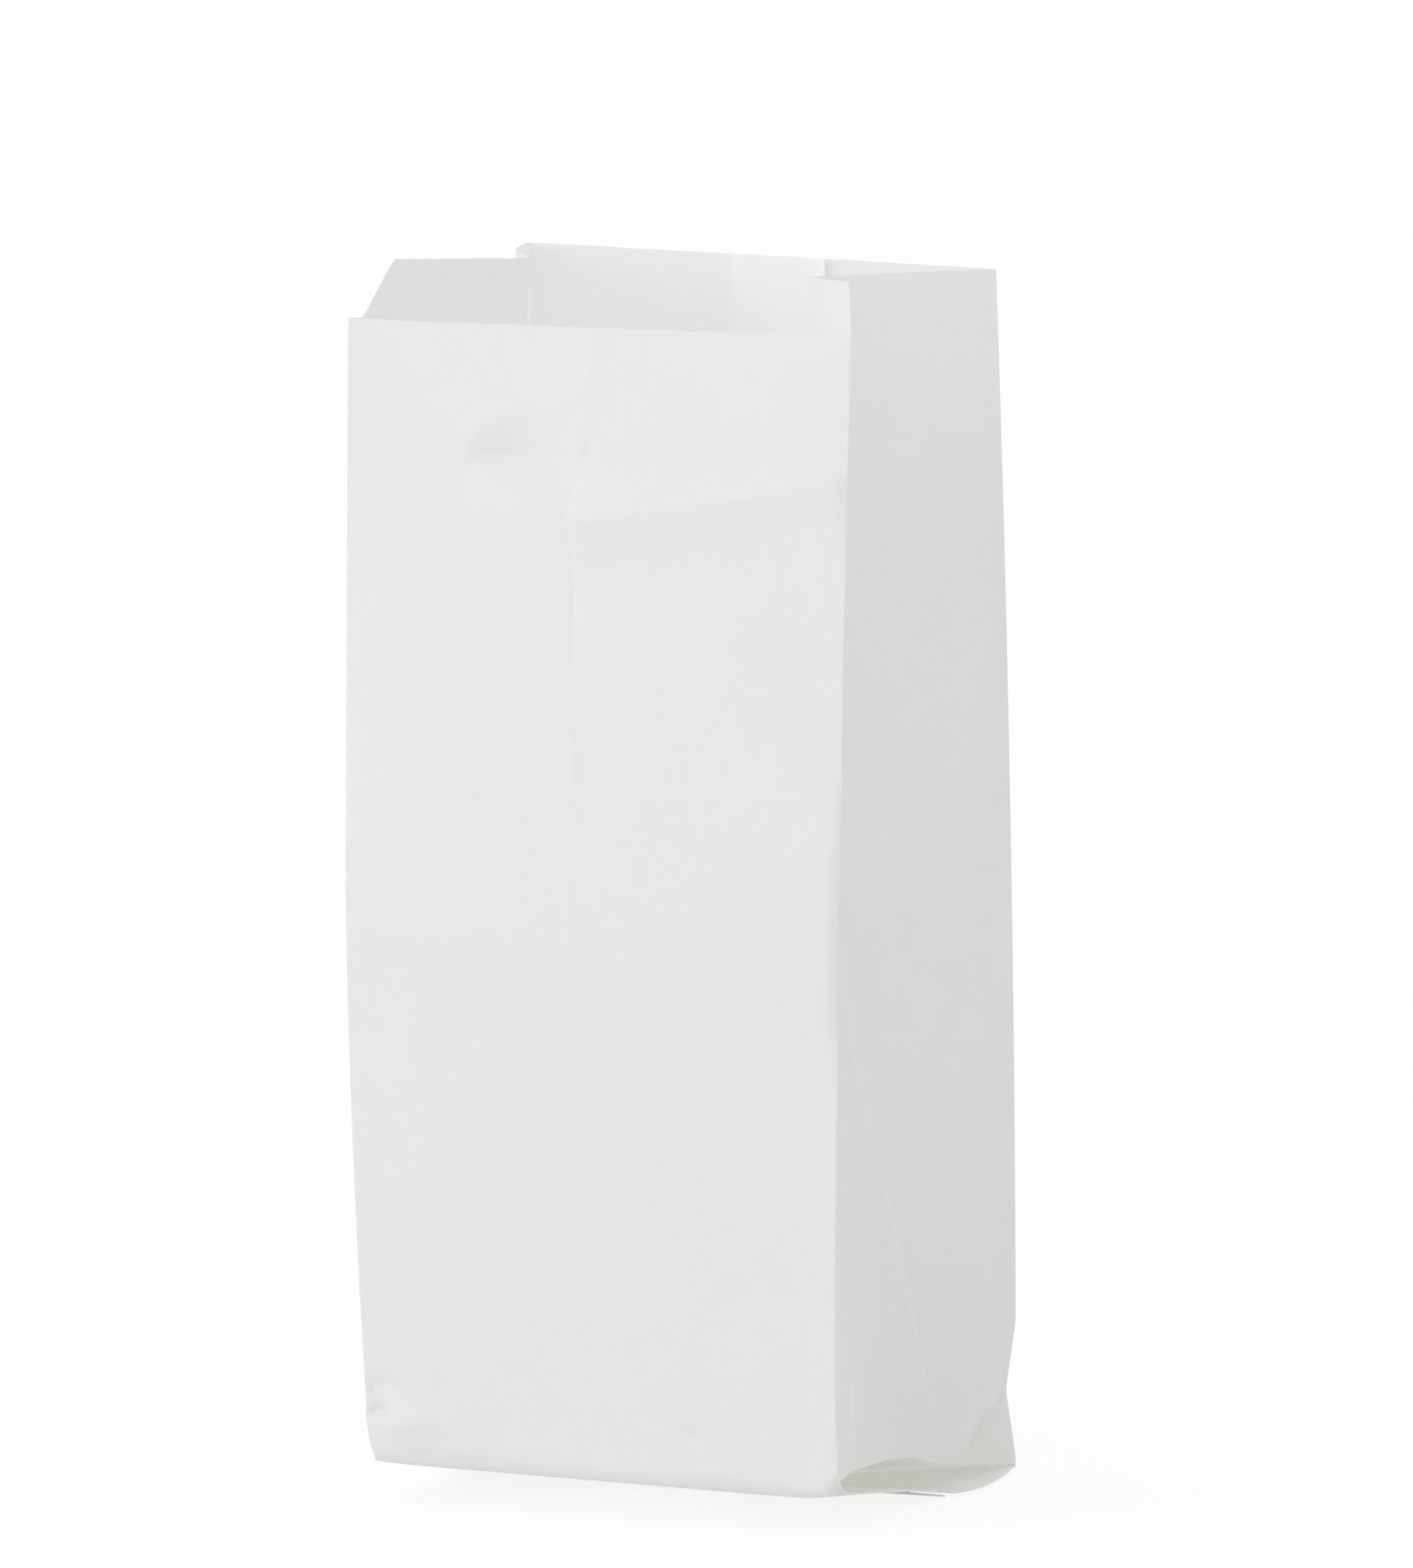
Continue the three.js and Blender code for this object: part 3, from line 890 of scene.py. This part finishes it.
PAPER = (0.92, 0.92, 0.92, 1)
PAPER_DARKER = (0.885, 0.885, 0.885, 1)
PAPER_WORN_AND_PAINTED_LIGHT = (0.96, 0.96, 0.955, 1)
PAPER_THROUGH = (0.95, 0.945, 0.91, 1)
PAPER_SHARE_THROUGH = 0.5
SEAM_SHARE_THROUGH = 0.2
PAPER_ROUGHNESS = 0.55
PAPER_SPECULAR = 0.3

# Noises of the paper: scale, detail and stretch
CLOUDS = (45.0, 6.0, (1.0, 1.0, 1.0))
STREAKS = (520.0, 3.0, (1.0, 1.0, 0.35))
GRAIN = (1200.0, 3.0, (1.0, 1.0, 1.0))
MOTTLE_RANGE = {"From Min": 0.6, "From Max": 1.4}
GRAIN_STRENGTH = 0.1
GRAIN_DEPTH = 0.0002


def empty_tree(owner):
    """Node tree of a material or world, without its first nodes."""
    owner.use_nodes = True
    owner.node_tree.nodes.clear()
    return owner.node_tree


def noise(tree, scale, detail, stretch):
    """Noise in the sheet's own space, stretched along its axes."""
    nodes, links = tree.nodes, tree.links
    place = nodes.new("ShaderNodeTexCoord")
    mapping = nodes.new("ShaderNodeMapping")
    mapping.inputs["Scale"].default_value = stretch
    links.new(place.outputs["Object"], mapping.inputs["Vector"])
    texture = nodes.new("ShaderNodeTexNoise")
    texture.inputs["Scale"].default_value = scale
    texture.inputs["Detail"].default_value = detail
    links.new(mapping.outputs["Vector"], texture.inputs["Vector"])
    return texture.outputs["Fac"]


def feed(tree, socket, value):
    """Links another node's output to a socket, or sets a plain value on it."""
    if isinstance(value, bpy.types.NodeSocket):
        tree.links.new(value, socket)
    else:
        socket.default_value = value


def combine(tree, operation, first, second):
    """Sum, maximum or the like of two values."""
    node = tree.nodes.new("ShaderNodeMath")
    node.operation = operation
    tree.links.new(first, node.inputs[0])
    tree.links.new(second, node.inputs[1])
    return node.outputs[0]


def remap(tree, value, limits):
    """Value carried from one range to another, by the node's own names for them."""
    node = tree.nodes.new("ShaderNodeMapRange")
    for name, limit in limits.items():
        node.inputs[name].default_value = limit
    tree.links.new(value, node.inputs["Value"])
    return node.outputs["Result"]


def mix_colours(tree, share, first, second):
    mix = tree.nodes.new("ShaderNodeMix")
    mix.data_type = "RGBA"
    feed(tree, mix.inputs["Factor"], share)
    feed(tree, mix.inputs["A"], first)
    feed(tree, mix.inputs["B"], second)
    return mix.outputs["Result"]


def mix_shaders(tree, share, first, second):
    mix = tree.nodes.new("ShaderNodeMixShader")
    feed(tree, mix.inputs["Fac"], share)
    tree.links.new(first, mix.inputs[1])
    tree.links.new(second, mix.inputs[2])
    return mix.outputs["Shader"]


def point_mark(tree, name):
    mark = tree.nodes.new("ShaderNodeAttribute")
    mark.attribute_name = name
    return mark.outputs["Fac"]


def paper_colour(tree):
    """Mottled paper, lighter where it is worn or doubled, and where light is painted on:
    some bright ridges and the plies in the side pockets.
    """
    mottle = combine(tree, "ADD", noise(tree, *CLOUDS), noise(tree, *STREAKS))
    plain = mix_colours(tree, remap(tree, mottle, MOTTLE_RANGE), PAPER_DARKER, PAPER)
    worn_and_painted_light = mix_colours(tree, point_mark(tree, "wear_and_painted_light"), plain, PAPER_WORN_AND_PAINTED_LIGHT)
    return mix_colours(tree, point_mark(tree, "double"), worn_and_painted_light, PAPER_WORN_AND_PAINTED_LIGHT)


def paper_grain(tree):
    """Normal of the paper's fine grain."""
    bump = tree.nodes.new("ShaderNodeBump")
    bump.inputs["Strength"].default_value = GRAIN_STRENGTH
    bump.inputs["Distance"].default_value = GRAIN_DEPTH
    tree.links.new(noise(tree, *GRAIN), bump.inputs["Height"])
    return bump.outputs["Normal"]


def paper_material():
    material = bpy.data.materials.new("greaseproof_paper")
    tree = empty_tree(material)
    nodes, links = tree.nodes, tree.links
    surface = nodes.new("ShaderNodeBsdfPrincipled")
    surface.inputs["Roughness"].default_value = PAPER_ROUGHNESS
    surface.inputs["Specular IOR Level"].default_value = PAPER_SPECULAR
    links.new(paper_colour(tree), surface.inputs["Base Color"])
    links.new(paper_grain(tree), surface.inputs["Normal"])
    through = nodes.new("ShaderNodeBsdfTranslucent")
    through.inputs["Color"].default_value = PAPER_THROUGH
    limits = {"To Min": PAPER_SHARE_THROUGH, "To Max": SEAM_SHARE_THROUGH}
    share = remap(tree, point_mark(tree, "double"), limits)
    shader = mix_shaders(tree, share, surface.outputs["BSDF"], through.outputs["BSDF"])
    output = nodes.new("ShaderNodeOutputMaterial")
    links.new(shader, output.inputs["Surface"])
    return material


# Stage, light and camera

FLOOR_HALF = 30.0
FLOOR_WHITE = 0.87
FLOOR_SHOWN = (0.98, 0.98, 0.98, 1)
FLOOR_COLOUR = (0.85, 0.845, 0.83, 1)

BRIGHT_SIDE = (-0.42, -0.48, 0.78)
WORLD_DIM = (0.19, 0.186, 0.176, 1)
WORLD_BRIGHT = (1.125, 1.14, 1.19, 1)
WORLD_SHOWN = (0.8, 0.8, 0.8, 1)
WHOLE_TURN = {"From Min": -1.0, "From Max": 1.0}

KEY_PLACE = (-1.95, -2.4, 0.8)
KEY_AIM = (0.0, 0.0, 0.18)
KEY_SIZE = 1.4
KEY_POWER = 16.0
KEY_COLOUR = (0.91, 0.95, 1.0)

CAMERA_AZIMUTH = math.radians(22.0)
CAMERA_ELEVATION = math.radians(5.8)
CAMERA_DISTANCE = 4.0
CAMERA_AIM = (0.007, FOOTPRINT_SHIFT * MM, 0.204)
CAMERA_LENS = 320.8
CAMERA_SENSOR = 36.0


def seen_apart(tree, lit, shown):
    """Mixes a lit shader with another one for what the camera sees directly, in
    mirrors and through the paper."""
    path = tree.nodes.new("ShaderNodeLightPath").outputs
    either = combine(tree, "MAXIMUM", path["Is Glossy Ray"], path["Is Transmission Ray"])
    seen = combine(tree, "MAXIMUM", path["Is Camera Ray"], either)
    return mix_shaders(tree, seen, lit, shown)


def floor_material():
    """Floor that shows almost white and takes the bag's shadow."""
    material = bpy.data.materials.new("stage_floor")
    tree = empty_tree(material)
    nodes, links = tree.nodes, tree.links
    lit = nodes.new("ShaderNodeBsdfDiffuse")
    lit.inputs["Color"].default_value = FLOOR_COLOUR
    shown = nodes.new("ShaderNodeBsdfDiffuse")
    shown.inputs["Color"].default_value = FLOOR_SHOWN
    glow = nodes.new("ShaderNodeEmission")
    white = mix_shaders(tree, FLOOR_WHITE, shown.outputs["BSDF"], glow.outputs["Emission"])
    output = nodes.new("ShaderNodeOutputMaterial")
    links.new(seen_apart(tree, lit.outputs["BSDF"], white), output.inputs["Surface"])
    return material


def make_floor():
    half = FLOOR_HALF
    corners = [(-half, -half, 0), (half, -half, 0), (half, half, 0), (-half, half, 0)]
    mesh = bpy.data.meshes.new("stage_floor")
    mesh.from_pydata(corners, [], [(0, 1, 2, 3)])
    mesh.materials.append(floor_material())
    floor = bpy.data.objects.new("stage_floor", mesh)
    bpy.context.scene.collection.objects.link(floor)


def make_world():
    """Studio light, brighter on one side."""
    world = bpy.data.worlds.new("studio")
    bpy.context.scene.world = world
    tree = empty_tree(world)
    nodes, links = tree.nodes, tree.links
    place = nodes.new("ShaderNodeTexCoord")
    toward = nodes.new("ShaderNodeVectorMath")
    toward.operation = "DOT_PRODUCT"
    toward.inputs[1].default_value = Vector(BRIGHT_SIDE).normalized()
    links.new(place.outputs["Generated"], toward.inputs[0])
    share = remap(tree, toward.outputs["Value"], WHOLE_TURN)
    lit = nodes.new("ShaderNodeBackground")
    links.new(mix_colours(tree, share, WORLD_DIM, WORLD_BRIGHT), lit.inputs["Color"])
    shown = nodes.new("ShaderNodeBackground")
    shown.inputs["Color"].default_value = WORLD_SHOWN
    shader = seen_apart(tree, lit.outputs["Background"], shown.outputs["Background"])
    output = nodes.new("ShaderNodeOutputWorld")
    links.new(shader, output.inputs["Surface"])


def turned_to(direction):
    """Rotation of a lamp or camera that looks along a direction."""
    return direction.to_track_quat("-Z", "Y").to_euler()


def make_lamp():
    data = bpy.data.lights.new("key", "AREA")
    data.shape = "DISK"
    data.size = KEY_SIZE
    data.energy = KEY_POWER
    data.color = KEY_COLOUR
    lamp = bpy.data.objects.new("key", data)
    lamp.location = KEY_PLACE
    lamp.rotation_euler = turned_to(Vector(KEY_AIM) - Vector(KEY_PLACE))
    bpy.context.scene.collection.objects.link(lamp)


def make_camera():
    data = bpy.data.cameras.new("camera")
    data.lens = CAMERA_LENS
    data.sensor_width = CAMERA_SENSOR
    camera = bpy.data.objects.new("camera", data)
    flat = math.cos(CAMERA_ELEVATION)
    away = Vector((
        math.sin(CAMERA_AZIMUTH) * flat,
        -math.cos(CAMERA_AZIMUTH) * flat,
        math.sin(CAMERA_ELEVATION),
    ))
    camera.location = Vector(CAMERA_AIM) + away * CAMERA_DISTANCE
    camera.rotation_euler = turned_to(-away)
    bpy.context.scene.collection.objects.link(camera)
    bpy.context.scene.camera = camera


bpy.context.scene.view_settings.view_transform = "Standard"
make_camera()
make_world()
make_lamp()
make_floor()
bag = make_bag(paper_material())
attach(bag, "root")
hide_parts("paper_bag")
